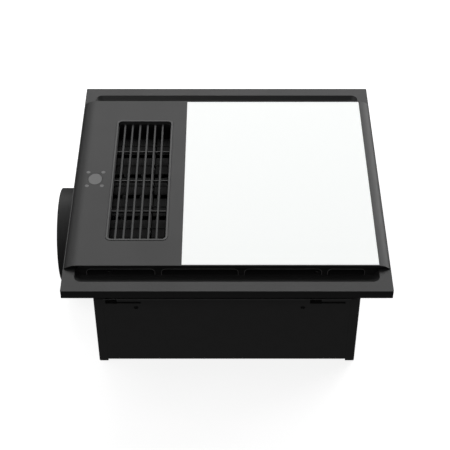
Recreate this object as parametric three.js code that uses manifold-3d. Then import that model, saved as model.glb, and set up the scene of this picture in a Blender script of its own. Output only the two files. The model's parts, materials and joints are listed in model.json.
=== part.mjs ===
// Ceiling-mounted bathroom unit: warm-air heater, exhaust fan and light panel in one body.
// It stands on its back as it does on a bench, so the face that looks down into a room points to +Z.
// Millimetres, +Z up, origin at the middle of the pressed pad under the back of the casing.
import * as THREE from "three";
import { mergeVertices } from "three/addons/utils/BufferGeometryUtils.js";
import Module from "manifold-3d";

const wasm = await Module();
wasm.setup();

// ---- Driving dimensions -------------------------------------------------------------------------
const FACE = 400; // the square flange that covers the ceiling cut-out
const BODY = 333; // the square casing above the ceiling
const PANEL_DEPTH = 326; // the face panel, front edge to rear edge
const CASING_TOP = 116.5; // the sheet-steel casing's rim
const FLANGE_TOP = 166; // the flange's room side
const FLANGE_THICK = 12;
const PANEL_TOP = 172.5; // the flat of the face panel
const DUCT_RADIUS = 64.2; // the spigot that takes the exhaust duct
const DUCT_END = 224.1; // how far the spigot's mouth is from the middle of the unit
const DUCT_AXIS = { y: 0, z: 68 };
const OUTLET = { x: -113.8, width: 77.6, depth: 238.4 }; // the warm-air outlet in the face panel
const LIGHT = { x0: -55.5, x1: 185.6 }; // the light's left and right edges
const BLOWER = { x: 55, y: 0 };

const SHEET = 1.5; // steel sheet
const WALL = 2; // moulded wall
const GAP = 0.3; // clearance between touching pieces

// ---- Derived levels -----------------------------------------------------------------------------
const HALF_FACE = FACE / 2;
const HALF_BODY = BODY / 2;
const HALF_PANEL = PANEL_DEPTH / 2;
const LIP_THICK = 2;
const HALF_LIGHT = HALF_PANEL - LIP_THICK - 0.1; // the light ends just inside the panel's two lips
const FLANGE_UNDER = FLANGE_TOP - FLANGE_THICK;
const RECESS = { halfX: 185.2, halfY: 184.3, radius: 9 }; // the opening inside the flange
const DECK_TOP = 155.5;
const DECK_THICK = 2.5;
const DECK_UNDER = DECK_TOP - DECK_THICK;
const NECK = { halfX: HALF_BODY - 2, halfY: HALF_BODY - 3, wall: 2.5, bottom: 95 };
const BASE_UNDER = 2.5;
const BASE_TOP = BASE_UNDER + SHEET;
const LIP_BOTTOM = 167.6; // the lower edge of the face panel's front and rear lips
const LOUVRE_Z = 152;
const VANE_PITCH = 41;
const VANE_MIDDLE = 5; // the middle vane's place along Y
const VANE_ROWS = [-2, -1, 0, 1, 2];
const vaneY = (row) => VANE_MIDDLE + row * VANE_PITCH;

// ---- Materials ----------------------------------------------------------------------------------
const finish = (color, roughness, metalness) =>
  new THREE.MeshStandardMaterial({ color, roughness, metalness });

const graphitePlastic = finish(0x4f4f4f, 0.55, 0);
const blackSteel = finish(0x1a1a1a, 0.6, 0.2);
const blackPlastic = finish(0x1c1c1c, 0.65, 0);
const opalAcrylic = finish(0xfafcfa, 0.35, 0);
const clearAcrylic = finish(0xe8f0f0, 0.1, 0);
const greyLens = finish(0x8a8a8a, 0.3, 0);
const aluminium = finish(0xb8babc, 0.4, 0.9);
const springSteel = finish(0x9a9c9e, 0.35, 1);
const zincSteel = finish(0xa9abad, 0.4, 1);
const whitePlastic = finish(0xd8d8d4, 0.5, 0);
const boardGreen = finish(0x1f5a36, 0.6, 0);
const foam = finish(0x2a2a2a, 0.95, 0);
const rubber = finish(0x151515, 0.8, 0);

// ---- Solids from three.js geometry --------------------------------------------------------------
function solidOf(geometry) {
  const plain = geometry.index ? geometry.toNonIndexed() : geometry;
  plain.deleteAttribute("normal");
  plain.deleteAttribute("uv");
  const merged = mergeVertices(plain, 1e-4);
  return new wasm.Manifold(
    new wasm.Mesh({
      numProp: 3,
      vertProperties: merged.attributes.position.array,
      triVerts: new Uint32Array(merged.index.array),
    }),
  );
}

const X_AXIS = new THREE.Vector3(1, 0, 0);
const Y_AXIS = new THREE.Vector3(0, 1, 0);
const Z_AXIS = new THREE.Vector3(0, 0, 1);

// A box from its low and high corners.
function box(x0, x1, y0, y1, z0, z1) {
  const geometry = new THREE.BoxGeometry(x1 - x0, y1 - y0, z1 - z0);
  return solidOf(geometry.translate((x0 + x1) / 2, (y0 + y1) / 2, (z0 + z1) / 2));
}

function extruded(shape, length, segments) {
  const options = { depth: length, bevelEnabled: false, curveSegments: segments };
  return new THREE.ExtrudeGeometry(shape, options);
}

// A plan outline raised from z0 to z1.
function plate(shape, z0, z1, segments = 6) {
  return solidOf(extruded(shape, z1 - z0, segments).translate(0, 0, z0));
}

// An outline in (y, z) run along X from x0 to x1.
function sectionX(shape, x0, x1, segments = 6) {
  const turn = new THREE.Matrix4().makeBasis(Y_AXIS, Z_AXIS, X_AXIS);
  return solidOf(extruded(shape, x1 - x0, segments).applyMatrix4(turn).translate(x0, 0, 0));
}

// An outline in (x, z) run along Y from y0 to y1.
function sectionY(shape, y0, y1, segments = 6) {
  const turn = new THREE.Matrix4().makeBasis(X_AXIS, Z_AXIS, new THREE.Vector3(0, -1, 0));
  return solidOf(extruded(shape, y1 - y0, segments).applyMatrix4(turn).translate(0, y1, 0));
}

// A round rod along X, Y or Z. The centre's two numbers are its other two coordinates, in order.
function rod(axis, radius, from, to, [a, b], sides = 16) {
  const geometry = new THREE.CylinderGeometry(radius, radius, to - from, sides);
  const middle = (from + to) / 2;
  if (axis === "x") return solidOf(geometry.rotateZ(-Math.PI / 2).translate(middle, a, b));
  if (axis === "y") return solidOf(geometry.translate(a, middle, b));
  return solidOf(geometry.rotateX(Math.PI / 2).translate(a, b, middle));
}

function tube(axis, outer, inner, from, to, centre, sides = 32) {
  const bore = rod(axis, inner, from - 1, to + 1, centre, sides);
  return rod(axis, outer, from, to, centre, sides).subtract(bore);
}

// A profile of [radius, height] points turned about Z.
function turned(points, sides = 32) {
  const outline = points.map(([radius, height]) => new THREE.Vector2(radius, height));
  return solidOf(new THREE.LatheGeometry(outline, sides).rotateX(Math.PI / 2));
}

function outlineOf(points) {
  return new THREE.Shape(points.map(([u, v]) => new THREE.Vector2(u, v)));
}

function roundRect(u0, u1, v0, v1, radius) {
  const shape = new THREE.Shape();
  const quarter = Math.PI / 2;
  shape.absarc(u1 - radius, v0 + radius, radius, -quarter, 0);
  shape.absarc(u1 - radius, v1 - radius, radius, 0, quarter);
  shape.absarc(u0 + radius, v1 - radius, radius, quarter, 2 * quarter);
  shape.absarc(u0 + radius, v0 + radius, radius, 2 * quarter, 3 * quarter);
  shape.closePath();
  return shape;
}

const joined = (solids) => solids.reduce((all, next) => all.add(next));
const without = (solid, cuts) => cuts.reduce((left, cut) => left.subtract(cut), solid);

function named(name, solid, material) {
  const mesh = solid.getMesh();
  const geometry = new THREE.BufferGeometry();
  geometry.setAttribute("position", new THREE.BufferAttribute(mesh.vertProperties, 3));
  geometry.setIndex(new THREE.BufferAttribute(mesh.triVerts, 1));
  const piece = new THREE.Mesh(geometry, material);
  piece.name = name;
  return piece;
}

function groupAt(x, y, z) {
  const group = new THREE.Group();
  group.position.set(x, y, z);
  return group;
}

// ---- Swing-out clamps: places and slots ----------------------------------------------------------
// Each arm parks along the wall and swings out through a thin slot, then is drawn towards the flange
// in the notch beside it. The rear pair is the front pair turned half round.
const CLAMP_Y = 155.5;
const CLAMPS = [
  { x: -144.5, side: -1 },
  { x: 111, side: -1 },
  { x: -111, side: 1 },
  { x: 144.5, side: 1 },
];
const ARM = { under: 109.3, thick: 2, reach: 34, halfWidth: 5 };
const NOTCH = { half: 7.2, under: 108 };
const SLOT = { length: 37, under: 108, over: 112.6 };

// The box between two distances from a wall's clamp screw, on the side where its arm parks.
function clampCut(clamp, along0, along1, across0, across1, z0, z1) {
  const xs = [clamp.x - clamp.side * along0, clamp.x - clamp.side * along1].sort((a, b) => a - b);
  const ys = [clamp.side * across0, clamp.side * across1].sort((a, b) => a - b);
  return box(xs[0], xs[1], ys[0], ys[1], z0, z1);
}

function clampCuts(across0, across1, notchTop) {
  return CLAMPS.flatMap((clamp) => [
    clampCut(clamp, -NOTCH.half, NOTCH.half, across0, across1, NOTCH.under, notchTop),
    clampCut(clamp, 0, SLOT.length, across0, across1, SLOT.under, SLOT.over),
  ]);
}

// ---- Casing --------------------------------------------------------------------------------------
const WRAP = 11.8; // how far each side plate wraps round onto the front and rear
const SIDE_TOP = 152.5;
const RIM_WIDTH = 2.7;
const BODY_SCREWS = [
  { x: -115.1, side: -1 },
  { x: 93.6, side: -1 },
  { x: 115.1, side: 1 },
  { x: -93.6, side: 1 },
];
const BODY_SCREW_Z = 101.3;
const GROMMET = { x: 110, z: 45, radius: 7.5 };

function casing() {
  const group = new THREE.Group();
  const trayHalf = HALF_BODY - WRAP - GAP;
  const seamHalf = HALF_BODY - SHEET - GAP;
  const walls = [-1, 1].flatMap((side) => {
    const [y0, y1] = [side * HALF_BODY, side * (HALF_BODY - SHEET)].sort((a, b) => a - b);
    const [r0, r1] = [side * HALF_BODY, side * (HALF_BODY - RIM_WIDTH)].sort((a, b) => a - b);
    return [
      box(-trayHalf, trayHalf, y0, y1, BASE_UNDER, CASING_TOP),
      box(-trayHalf, trayHalf, r0, r1, CASING_TOP - SHEET, CASING_TOP),
    ];
  });
  const inner = HALF_BODY - SHEET - GAP;
  const base = joined([
    box(-trayHalf, trayHalf, -HALF_BODY, HALF_BODY, BASE_UNDER, BASE_TOP),
    box(-seamHalf, seamHalf, -inner, inner, BASE_UNDER, BASE_TOP),
    turned([[0, 0], [33, 0], [37, BASE_TOP], [0, BASE_TOP]], 28),
  ]);
  const padHollow = turned([[0, SHEET], [31.6, SHEET], [36, BASE_TOP + 1], [0, BASE_TOP + 1]], 28);
  const tray = without(joined([base.subtract(padHollow), ...walls]), [
    ...clampCuts(HALF_BODY - 8, HALF_BODY + 2, CASING_TOP + 2),
    ...BODY_SCREWS.map(({ x, side }) =>
      rod("y", 2.3, side * HALF_BODY - 3, side * HALF_BODY + 3, [x, BODY_SCREW_Z], 12),
    ),
    rod("y", GROMMET.radius + GAP, HALF_BODY - 4, HALF_BODY + 2, [GROMMET.x, GROMMET.z], 20),
  ]);
  group.add(named("base_tray", tray, blackSteel));

  const sidePlate = (side) => {
    const span = (a, b) => [side * a, side * b].sort((p, q) => p - q);
    const [x0, x1] = span(HALF_BODY, HALF_BODY - SHEET);
    const [w0, w1] = span(HALF_BODY, HALF_BODY - WRAP);
    const [f0, f1] = span(HALF_BODY, HALF_BODY - 16);
    const upper = HALF_BODY - NECK.wall - 3;
    const pieces = [
      box(x0, x1, -HALF_BODY, HALF_BODY, 0, CASING_TOP),
      box(x0, x1, -upper, upper, CASING_TOP - 1, SIDE_TOP),
      box(f0, f1, -HALF_BODY + 20, HALF_BODY - 20, 0.8, BASE_UNDER - GAP),
    ];
    for (const end of [-1, 1]) {
      const [y0, y1] = [end * HALF_BODY, end * (HALF_BODY - SHEET)].sort((p, q) => p - q);
      const [r0, r1] = [end * HALF_BODY, end * (HALF_BODY - RIM_WIDTH)].sort((p, q) => p - q);
      pieces.push(box(w0, w1, y0, y1, 0, CASING_TOP));
      pieces.push(box(w0, w1, r0, r1, CASING_TOP - SHEET, CASING_TOP));
    }
    return joined(pieces);
  };
  const ductHole = rod("x", DUCT_RADIUS - 2.5, -HALF_BODY - 2, -HALF_BODY + 4, [DUCT_AXIS.y, DUCT_AXIS.z], 36);
  group.add(named("left_side_plate", sidePlate(-1).subtract(ductHole), blackSteel));
  group.add(named("right_side_plate", sidePlate(1), blackSteel));

  const lip = GROMMET.radius + 2.5;
  const grommet = without(
    joined([
      rod("y", GROMMET.radius, HALF_BODY - 4, HALF_BODY + 2, [GROMMET.x, GROMMET.z], 20),
      rod("y", lip, HALF_BODY + GAP, HALF_BODY + 2, [GROMMET.x, GROMMET.z], 20),
      rod("y", lip, HALF_BODY - 4, HALF_BODY - SHEET - GAP, [GROMMET.x, GROMMET.z], 20),
    ]),
    [rod("y", 4, HALF_BODY - 6, HALF_BODY + 4, [GROMMET.x, GROMMET.z], 16)],
  );
  group.add(named("cable_grommet", grommet, rubber));
  return group;
}

// ---- Ceiling frame -------------------------------------------------------------------------------
const SLOPE_END = HALF_PANEL; // where the intake slope meets the slotted wall
const SLOPE_POWER = 1.7;
const INTAKE_WALL = { inner: 160.5, outer: 162.5, top: LIP_BOTTOM - GAP };
const INTAKE_SLOTS = [
  [-171, -88.4],
  [-79.5, 13.5],
  [21.9, 115.5],
  [123.5, 168],
];
const CLIPS = [
  { x: OUTLET.x, y: -140, top: 170 },
  { x: OUTLET.x, y: 140, top: 170 },
  { x: 65, y: -140, top: 165 },
  { x: 65, y: 140, top: 165 },
];
const LOUVRE_MOTOR = { x0: -73.7, x1: -54.7, z: 144, radius: 14 };

// The sloped floors of the front and rear intakes with the deck between them, as a (y, z) section.
function deckSection() {
  const run = RECESS.halfY - SLOPE_END;
  const rise = FLANGE_TOP - DECK_TOP;
  const steps = [0, 0.2, 0.4, 0.6, 0.8, 1];
  const upper = steps.map((t) => [SLOPE_END + run * t, DECK_TOP + rise * t ** SLOPE_POWER]);
  const lower = steps.map((t) => [
    SLOPE_END + 2 + (run - 1) * t,
    DECK_UNDER + (rise - 1) * t ** SLOPE_POWER,
  ]);
  const right = [...upper, [RECESS.halfY + 2, FLANGE_TOP - 1], ...lower.reverse()];
  const left = right.map(([y, z]) => [-y, z]).reverse();
  return outlineOf([...right, ...left]);
}

// A slot whose room-side corners are rounded, from (x0, z0) to (x1, z1).
function archedSlot(x0, x1, z0, z1, radius) {
  const shape = new THREE.Shape();
  shape.moveTo(x0, z0);
  shape.lineTo(x1, z0);
  shape.absarc(x1 - radius, z1 - radius, radius, 0, Math.PI / 2);
  shape.absarc(x0 + radius, z1 - radius, radius, Math.PI / 2, Math.PI);
  shape.closePath();
  return shape;
}

function intakeWall(side) {
  const [y0, y1] = [side * INTAKE_WALL.inner, side * INTAKE_WALL.outer].sort((a, b) => a - b);
  const wall = joined([
    box(-184, 184, y0, y1, DECK_TOP - 0.5, INTAKE_WALL.top),
    box(-186, 186, y0, y1, DECK_TOP - 0.5, FLANGE_TOP - 1),
  ]);
  const slots = INTAKE_SLOTS.map(([x0, x1]) =>
    sectionY(archedSlot(x0, x1, DECK_TOP, INTAKE_WALL.top - 1.6, 5), y0 - 1, y1 + 1, 3),
  );
  return without(wall, slots);
}

function ceilingFrame() {
  const opening = roundRect(
    -RECESS.halfX, RECESS.halfX, -RECESS.halfY, RECESS.halfY, RECESS.radius,
  );
  const flange = plate(
    roundRect(-HALF_FACE, HALF_FACE, -HALF_FACE, HALF_FACE, 1.2), FLANGE_UNDER, FLANGE_TOP, 3,
  ).subtract(plate(opening, FLANGE_UNDER - 1, FLANGE_TOP + 1, 6));
  const deck = sectionX(deckSection(), -RECESS.halfX - 1.8, RECESS.halfX + 1.8);
  const neckOuter = roundRect(-NECK.halfX, NECK.halfX, -NECK.halfY, NECK.halfY, 4);
  const nx = NECK.halfX - NECK.wall;
  const ny = NECK.halfY - NECK.wall;
  const neckInner = roundRect(-nx, nx, -ny, ny, 2);
  const neck = plate(neckOuter, NECK.bottom, DECK_TOP - 1, 3).subtract(
    plate(neckInner, NECK.bottom - 1, DECK_UNDER, 3),
  );
  const shelves = CLAMPS.map((clamp) => clampCut(clamp, -8, 8, CLAMP_Y - 6, ny + 1, 97, 100.5));
  const guard = joined([
    box(BLOWER.x - 76, BLOWER.x + 76, -2, 2, DECK_UNDER, DECK_TOP),
    box(BLOWER.x - 2, BLOWER.x + 2, -76, 76, DECK_UNDER, DECK_TOP),
    tube("z", 40, 36.5, DECK_UNDER, DECK_TOP, [BLOWER.x, 0], 20),
  ]);

  const ductX0 = OUTLET.x - OUTLET.width / 2 - 0.8;
  const ductX1 = OUTLET.x + OUTLET.width / 2 + 0.8;
  const cuts = [
    box(ductX0, ductX1, -OUTLET.depth / 2 - 0.4, OUTLET.depth / 2 + 0.4, 150, 160),
    rod("z", 75, DECK_UNDER - 1, DECK_TOP + 1, [BLOWER.x, 0], 32),
    box(ductX1 - 1, LOUVRE_MOTOR.x1 + 1, VANE_MIDDLE - 16, VANE_MIDDLE + 16, 150, 160),
    rod("z", 5, 150, 160, [0, 130], 12),
    rod("x", DUCT_RADIUS + 2, -HALF_BODY, -HALF_BODY + 8, [DUCT_AXIS.y, DUCT_AXIS.z], 40),
    ...CLAMPS.map(({ x, side }) => rod("z", 2.4, 90, 160, [x, side * CLAMP_Y], 8)),
    ...CLIPS.map(({ x, y }) => box(x - 7.5, x + 7.5, y - 5, y + 5, 150, 160)),
    ...clampCuts(ny - 0.5, NECK.halfY + 1, DECK_UNDER),
  ];
  return named(
    "ceiling_frame",
    joined([without(joined([flange, deck, neck, ...shelves]), cuts), guard])
      .add(intakeWall(-1))
      .add(intakeWall(1)),
    graphitePlastic,
  );
}

// A soft foam ring under the flange seals against the ceiling.
function foamGasket() {
  const outer = roundRect(-197, 197, -197, 197, 3);
  const inner = roundRect(-188, 188, -188, 188, 3);
  const ring = plate(outer, FLANGE_UNDER - 2.5, FLANGE_UNDER, 3).subtract(
    plate(inner, FLANGE_UNDER - 4, FLANGE_UNDER + 1, 3),
  );
  return named("foam_gasket", ring, foam);
}

// ---- Face panel with the light -------------------------------------------------------------------
const PANEL_SKIN = 2.2;
const CURVE = {
  start: 182, end: HALF_FACE - 1, sweep: (62 * Math.PI) / 180, foot: FLANGE_TOP + 0.4,
};
const SENSOR = { x: -172.3, y: -3.2, halfX: 9, halfY: 11 };
const LEDGE = { under: 168.2, top: 170.3 };
const GRILLE = {
  bars: 6, middle: -114.8, pitch: 10.32, ribs: [-59, 0, 59],
  under: 163.3, rimTop: PANEL_TOP + 0.6, barTop: 169, ribTop: 168.4,
};
const WINDOW = { x0: LIGHT.x0 + 6.5, x1: LIGHT.x1 - 6.6, halfY: 156 };

// The panel's (x, z) section: flat in the middle, with both sides rolled down onto the flange.
function panelSection() {
  const steps = 8;
  const { start, end, sweep, foot } = CURVE;
  const roll = (depth) =>
    Array.from({ length: steps + 1 }, (_, i) => {
      const angle = (i / steps) * sweep;
      const out = Math.sin(angle) / Math.sin(sweep);
      const up = (Math.cos(angle) - Math.cos(sweep)) / (1 - Math.cos(sweep));
      return [start + (end - depth * 1.3 - start) * out, foot + (PANEL_TOP - foot - depth) * up];
    });
  const right = [...roll(0), ...roll(PANEL_SKIN).reverse()];
  const left = right.map(([x, z]) => [-x, z]).reverse();
  return outlineOf([...right, ...left]);
}

function ellipse(halfX, halfY, x, y) {
  const shape = new THREE.Shape();
  shape.absellipse(x, y, halfX, halfY, 0, Math.PI * 2);
  return shape;
}

function facePanel() {
  const group = new THREE.Group();
  const skin = sectionY(panelSection(), -HALF_PANEL, HALF_PANEL);
  const ledge = box(LIGHT.x0 - 4, 190, -HALF_PANEL, HALF_PANEL, LEDGE.under, LEDGE.top + 0.2);
  const lips = [-1, 1].map((side) => {
    const ys = [side * HALF_PANEL, side * (HALF_PANEL - LIP_THICK)].sort((a, b) => a - b);
    return box(-CURVE.start, CURVE.start, ...ys, LIP_BOTTOM, LEDGE.top + 0.2);
  });
  const outletX0 = OUTLET.x - OUTLET.width / 2;
  const outletX1 = OUTLET.x + OUTLET.width / 2;
  const outletY = OUTLET.depth / 2;
  const cuts = [
    box(LIGHT.x0, LIGHT.x1, -HALF_LIGHT, HALF_LIGHT, LEDGE.top, PANEL_TOP + 1),
    box(WINDOW.x0, WINDOW.x1, -WINDOW.halfY, WINDOW.halfY, 160, PANEL_TOP),
    plate(roundRect(outletX0, outletX1, -outletY, outletY, 6.5), 165, PANEL_TOP + 1, 5),
    plate(ellipse(SENSOR.halfX + 0.4, SENSOR.halfY + 0.4, SENSOR.x, SENSOR.y), 165, 175, 12),
  ];
  group.add(named("face_panel", without(joined([skin, ledge, ...lips]), cuts), graphitePlastic));

  const lens = joined([
    plate(ellipse(SENSOR.halfX, SENSOR.halfY, SENSOR.x, SENSOR.y), 169, PANEL_TOP, 12),
    plate(ellipse(SENSOR.halfX + 2, SENSOR.halfY + 2, SENSOR.x, SENSOR.y), 168.2, 170, 12),
  ]);
  group.add(named("sensor_lens", lens, greyLens));

  const diffuserY = HALF_LIGHT - GAP;
  const diffuser = box(LIGHT.x0 + GAP, LIGHT.x1 - GAP, -diffuserY, diffuserY, LEDGE.top + 0.2, PANEL_TOP);
  group.add(named("light_diffuser", diffuser, opalAcrylic));
  const guideY = WINDOW.halfY - GAP;
  const guide = box(WINDOW.x0 + 3, WINDOW.x1 - 3, -guideY, guideY, 166.9, 169.9);
  group.add(named("light_guide", guide, clearAcrylic));

  // Each light strip is a narrow board with a row of emitters that face into the guide.
  const strip = (side) => {
    const edge = side < 0 ? WINDOW.x0 + GAP : WINDOW.x1 - GAP;
    const board = box(...[edge, edge - side * 1.2].sort((a, b) => a - b), -150, 150, 166.9, 169.9);
    const emitters = Array.from({ length: 15 }, (_, i) => {
      const y = (i - 7) * 20;
      const [x0, x1] = [edge - side, edge - side * 2.2].sort((a, b) => a - b);
      return box(x0, x1, y - 2.5, y + 2.5, 167.4, 169.4);
    });
    return joined([board, ...emitters]);
  };
  group.add(named("light_strip_left", strip(-1), whitePlastic));
  group.add(named("light_strip_right", strip(1), whitePlastic));

  const back = box(LIGHT.x0 - 1.5, 182.5, -158, 158, 165.4, 166.6).subtract(
    box(-40, 165, -140, 140, 164, 165.8),
  );
  const rim = box(LIGHT.x0 - 1.5, 182.5, -158, 158, 166, LEDGE.under - 0.2).subtract(
    box(LIGHT.x0 + 1, 180, -156.2, 156.2, 165, 170),
  );
  group.add(named("light_back_plate", back.add(rim), aluminium));

  // The warm-air grille drops into the panel's outlet: a frame, long bars and three cross ribs.
  const frame = plate(
    roundRect(outletX0 + GAP, outletX1 - GAP, -outletY + GAP, outletY - GAP, 6.2),
    GRILLE.under, GRILLE.rimTop, 3,
  );
  const hole = plate(
    roundRect(outletX0 + 2, outletX1 - 2, -outletY + 2, outletY - 2, 4.6), 160, PANEL_TOP + 1, 3,
  );
  const bars = Array.from({ length: GRILLE.bars }, (_, i) => {
    const x = GRILLE.middle + GRILLE.pitch * (i - (GRILLE.bars - 1) / 2);
    return box(x - 1.1, x + 1.1, -outletY + 1, outletY - 1, GRILLE.under, GRILLE.barTop);
  });
  const ribs = GRILLE.ribs.map((y) =>
    box(outletX0 + 1, outletX1 - 1, y - 0.9, y + 0.9, GRILLE.under, GRILLE.ribTop),
  );
  group.add(named("outlet_grille", joined([frame.subtract(hole), ...bars, ...ribs]), graphitePlastic));

  // Sprung clips hold the panel in slots of the frame's deck: a foot and two bowed legs.
  CLIPS.forEach(({ x, y, top }, i) => {
    const half = [[0, 0], [5.5, 0], [4.2, -8], [6, -14], [2, -19]];
    const outer = half.map(([u, v]) => [x + u, top + v]);
    const outerLeft = half.map(([u, v]) => [x - u, top + v]).reverse();
    const inner = half.slice(0, 4).map(([u, v]) => [x + Math.max(u - 1, 0), top + Math.min(v, -1)]);
    const innerLeft = inner.map(([u, v]) => [2 * x - u, v]);
    const legs = outlineOf([...outer, ...outerLeft.slice(0, -1)]);
    const hollow = outlineOf([
      [x + 4.4, top - 1], inner[2], inner[3], [x + 0.8, top - 19.5],
      [x - 0.8, top - 19.5], innerLeft[3], innerLeft[2], [x - 4.4, top - 1],
    ]);
    const clip = sectionY(legs, y - 3.5, y + 3.5).subtract(sectionY(hollow, y - 4, y + 4));
    group.add(named(`panel_clip_${i + 1}`, clip, springSteel));
  });
  return group;
}

// ---- Warm-air outlet: duct, swinging vanes and their link ---------------------------------------
const VANE = { x0: -148.5, x1: -79, halfWidth: 17, thick: 2.4 };
const CRANK = { drop: 9, pin: 1.3, x: -98.5 };

function outletDuct() {
  const x0 = OUTLET.x - OUTLET.width / 2;
  const x1 = OUTLET.x + OUTLET.width / 2;
  const y = OUTLET.depth / 2 - 0.8;
  const shell = box(x0, x1, -y, y, 139.2, GRILLE.under - GAP).subtract(
    box(x0 + WALL, x1 - WALL, -y + WALL, y - WALL, 138, 165),
  );
  const holes = VANE_ROWS.map((row) => rod("x", 2.6, x0 - 1, x1 + 1, [vaneY(row), LOUVRE_Z], 8));
  return named("outlet_duct", without(shell, holes), blackPlastic);
}

// A vane lies level at rest. A gap in its blade lets the link pass, and a crank drops to the link.
function vane(row) {
  const blade = ellipse(VANE.halfWidth, VANE.thick / 2, 0, 0);
  const split = box(CRANK.x - 3, CRANK.x + 3, -20, 20, -3, 3);
  const solid = joined([
    sectionX(blade, VANE.x0, VANE.x1, 5).subtract(split),
    rod("x", 2, -151.4, -76.1, [0, 0], 8),
    box(CRANK.x - 5, CRANK.x - 3, -2.4, 2.4, -CRANK.drop - 2.2, 0),
    rod("x", CRANK.pin, CRANK.x - 4, CRANK.x + 2.8, [0, -CRANK.drop], 8),
  ]);
  const piece = named(`louvre_vane_${row + 3}`, solid, blackPlastic);
  piece.position.set(0, vaneY(row), LOUVRE_Z);
  return piece;
}

function vaneLink() {
  const reach = 2 * VANE_PITCH + 6;
  const z = LOUVRE_Z - CRANK.drop;
  const bar = box(CRANK.x - 1, CRANK.x + 1, VANE_MIDDLE - reach, VANE_MIDDLE + reach, z - 3.5, z + 3.5);
  const holes = VANE_ROWS.map((row) => rod("x", 1.8, CRANK.x - 2, CRANK.x + 2, [vaneY(row), z], 8));
  return named("louvre_link", without(bar, holes), blackPlastic);
}

// A small geared stepper: a can, an offset output boss and two ears.
function stepper(name, x, y, z) {
  const can = joined([
    rod("x", LOUVRE_MOTOR.radius, 0, 19, [0, 0], 24),
    rod("x", 4.5, -0.9, 1, [0, 8], 12),
    box(0.5, 1.5, -21, 21, -3.5, 3.5),
  ]);
  const ears = [-17.5, 17.5].map((offset) => rod("x", 2, -1, 3, [offset, 0], 10));
  const piece = named(name, without(can, ears), zincSteel);
  piece.position.set(x, y, z);
  return piece;
}

// ---- Heater --------------------------------------------------------------------------------------
const AIR_BOX = { x0: -161.5, x1: -56, halfY: 121, bottom: 5, top: 118.5 };

function heater() {
  const group = new THREE.Group();
  const x0 = OUTLET.x - OUTLET.width / 2;
  const x1 = OUTLET.x + OUTLET.width / 2;
  const deck = box(AIR_BOX.x0, AIR_BOX.x1, -AIR_BOX.halfY, AIR_BOX.halfY, 118.8, 121.3);
  const walls = box(x0, x1, -118, 118, 118.8, 138.8);
  const throat = box(x0 + WALL, x1 - WALL, -116, 116, 110, 150);
  const bearers = [-60, 0, 60].map((y) => box(x0 + 1, x1 - 1, y - 1.5, y + 1.5, 118.8, 121.3));
  const frame = joined([deck, walls]).subtract(throat);
  group.add(named("heater_frame", joined([frame, ...bearers]), blackPlastic));

  // Each heating bar is a ceramic spine with aluminium fins across it.
  [-1, 0, 1].forEach((row, i) => {
    const x = OUTLET.x + row * 23.4;
    const spine = box(x - 2.6, x + 2.6, -114, 114, 122, 136);
    const fins = Array.from({ length: 15 }, (_, k) => {
      const y = (k - 7) * 15;
      return box(x - 11, x + 11, y - 0.6, y + 0.6, 123, 135);
    });
    group.add(named(`heating_bar_${i + 1}`, joined([spine, ...fins]), aluminium));
  });

  const cutout = joined([
    rod("z", 8, 121.6, 127, [-64.5, 70], 20),
    rod("z", 5, 126, 131, [-64.5, 70], 16),
    box(-66, -63, 58, 82, 121.6, 122.6),
  ]);
  group.add(named("thermal_cutout", cutout, aluminium));
  return group;
}

// ---- Air box with the changeover flap -----------------------------------------------------------
const SEAT = { radius: 40, z: 64, face: -155.6 };
const FLAP = { x: -154, z: 112, length: 94, halfY: 117, thick: 2.5 };
const SCROLL_OUT = { y0: -104, y1: -34, z0: 34, z1: 104 };

function airBox() {
  const { x0, x1, halfY, bottom, top } = AIR_BOX;
  const shell = box(x0, x1, -halfY, halfY, bottom, top).subtract(
    box(x0 + WALL, x1 - WALL, -halfY + WALL, halfY - WALL, bottom + WALL, top + 1),
  );
  const centre = [DUCT_AXIS.y, SEAT.z];
  const seat = rod("x", SEAT.radius + 2, -164.6, SEAT.face, centre, 32);
  const bore = rod("x", SEAT.radius, -166, SEAT.face + 2, centre, 32);
  const { y0, y1, z0, z1 } = SCROLL_OUT;
  return named(
    "air_box",
    without(shell.add(seat), [
      bore,
      box(x1 - 4, x1 + 1, y0 + 2, y1 - 2, z0 + 2, z1 - 2),
      ...[-1, 1].map((side) => rod("y", 3.5, side * halfY - 3, side * halfY + 3, [FLAP.x, FLAP.z], 12)),
    ]),
    blackPlastic,
  );
}

// At rest the flap hangs over the duct seat, so the air leaves through the heater.
function changeoverFlap() {
  const blade = box(-FLAP.thick / 2, FLAP.thick / 2, -FLAP.halfY, FLAP.halfY, -FLAP.length, 0);
  const shaft = rod("y", 3, -AIR_BOX.halfY - 3, AIR_BOX.halfY + 4, [0, 0], 12);
  const ribs = [-78, -26, 26, 78].map((y) => box(0, 3.4, y - 1, y + 1, -FLAP.length + 6, 0));
  const piece = named("changeover_flap", joined([blade, shaft, ...ribs]), whitePlastic);
  piece.position.set(FLAP.x, 0, FLAP.z);
  return piece;
}

function changeoverMotor() {
  const piece = stepper("changeover_motor", FLAP.x + 8, AIR_BOX.halfY + 5.5, FLAP.z);
  const turn = new THREE.Matrix4().makeBasis(Y_AXIS, Z_AXIS.clone().negate(), X_AXIS.clone().negate());
  piece.quaternion.setFromRotationMatrix(turn);
  return piece;
}

// ---- Duct collar with the back-draught shutter --------------------------------------------------
const SHUTTER = { x: -3.4, radius: 60.4, thick: 1.2, edge: 3.3 };
const COLLAR_PLATE = { halfY: 70, halfZ: 66, thick: 2.5, screwY: 61, screwZ: 57 };

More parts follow.
